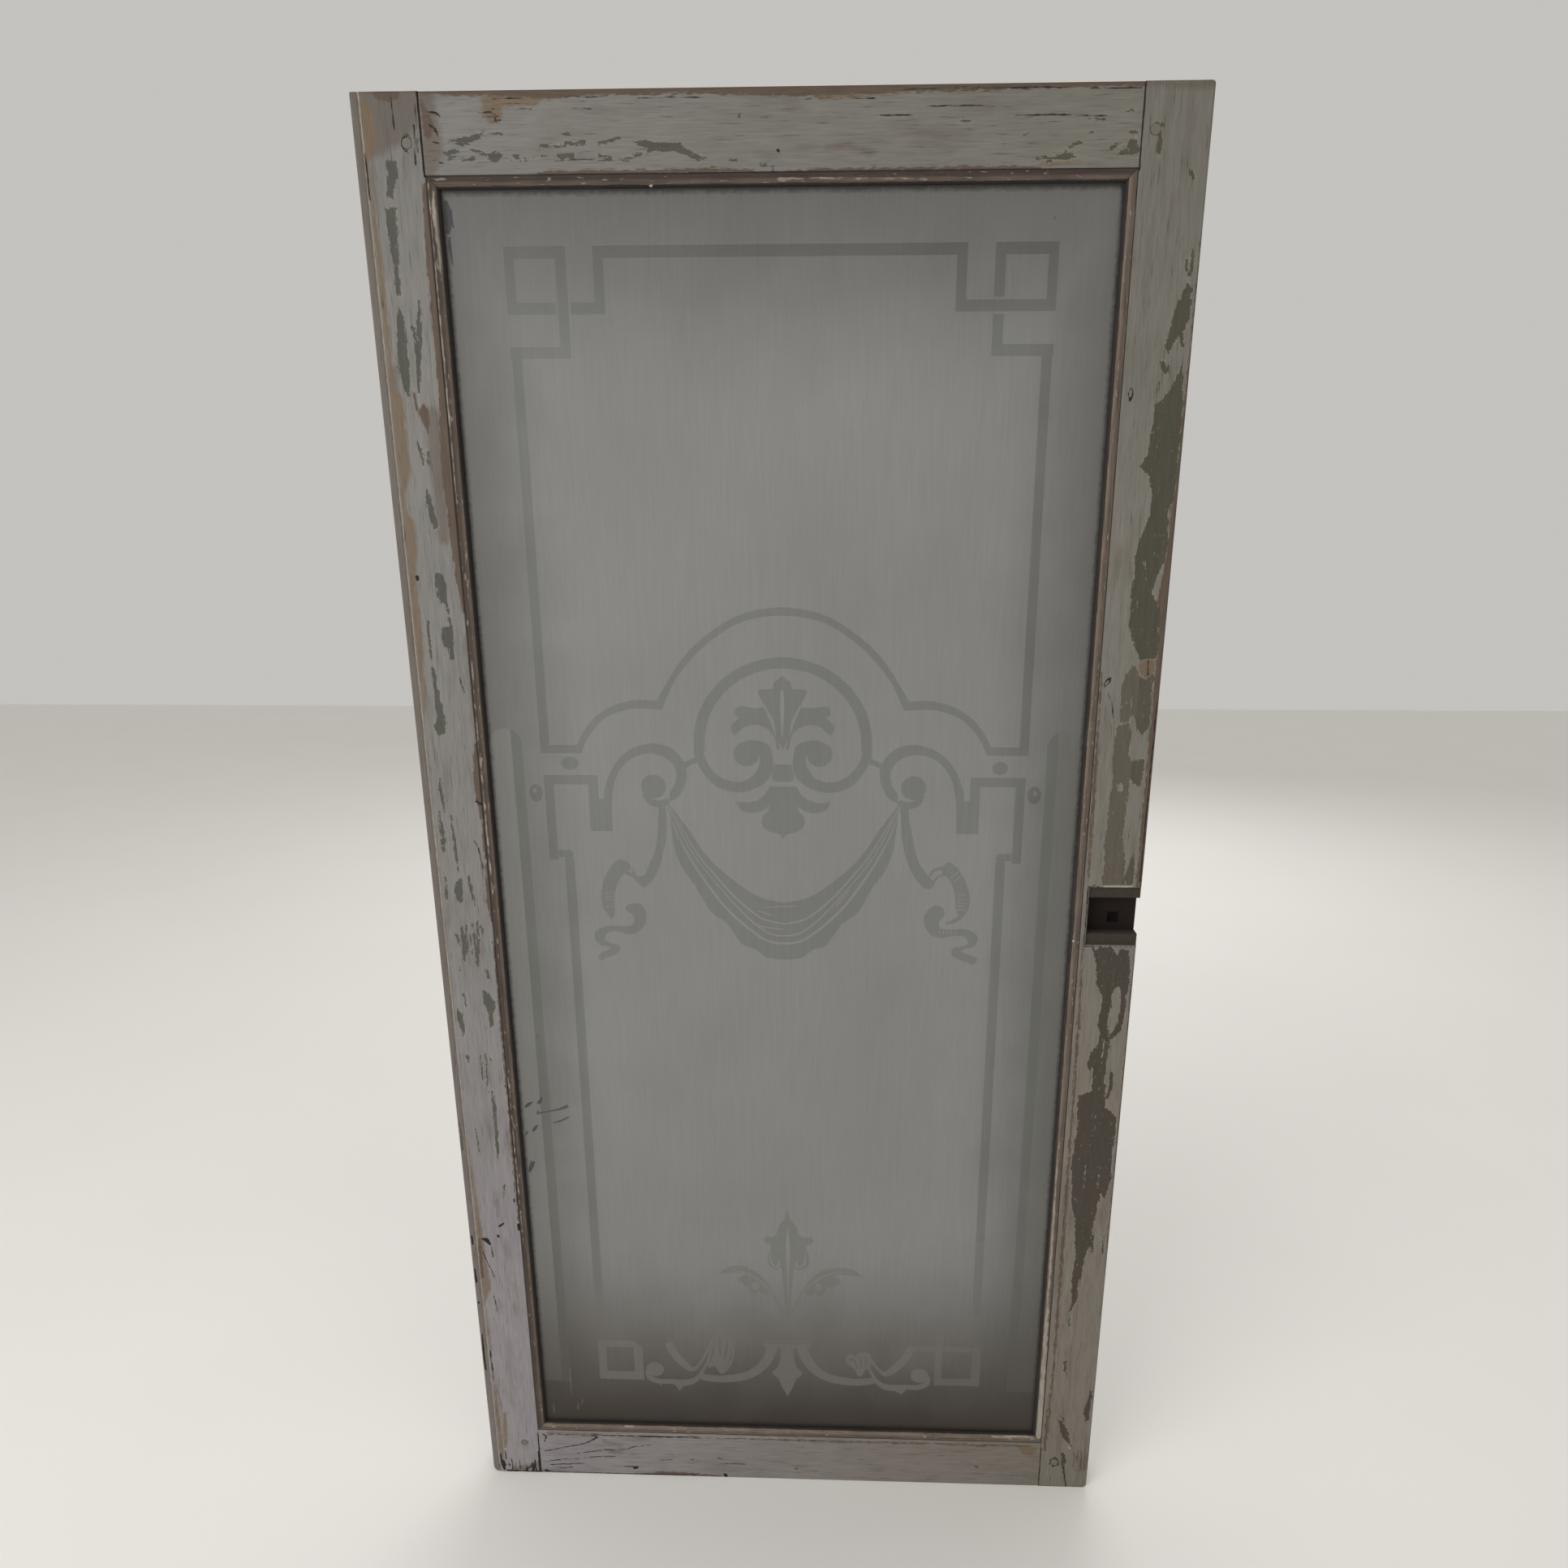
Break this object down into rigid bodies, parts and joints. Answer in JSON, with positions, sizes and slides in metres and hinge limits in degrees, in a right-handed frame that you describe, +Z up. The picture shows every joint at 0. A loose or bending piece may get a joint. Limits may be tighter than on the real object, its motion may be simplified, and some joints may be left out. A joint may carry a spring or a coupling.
{
  "type": "frosted glass window sash",
  "caption": "Tall narrow pegged pine window sash holding an etched frosted pane with nailed glazing beads and an empty lock housing in one stile.",
  "frame": {"origin": "middle of the underside of the bottom rail, halfway through the sash's thickness, where the sash stands in its opening", "axes": "+Z up along the stiles, +Y from the etched and beaded front to the plain back, +X to the right seen from the front"},
  "size_m": [0.735, 0.0402, 1.485],
  "materials": {
    "painted_pine": "worn matt grey paint, flaked to an older olive coat and bare pine",
    "bare_pine": "bare weathered pine with paint residue",
    "peg_wood": "painted over peg end",
    "etched_glass": "acid etched frosted ground with a smoother ornament, a little dirty"
  },
  "bodies": {
    "root": {"left_stile": "painted_pine", "right_stile": "painted_pine", "top_rail": "painted_pine", "bottom_rail": "painted_pine", "bead_left": "bare_pine", "bead_right": "bare_pine", "bead_top": "bare_pine", "bead_bottom": "bare_pine", "peg_top_left": "peg_wood", "peg_top_right": "peg_wood", "peg_bottom_left": "peg_wood", "peg_bottom_right": "peg_wood", "glass_pane": "etched_glass"}
  },
  "joints": []
}
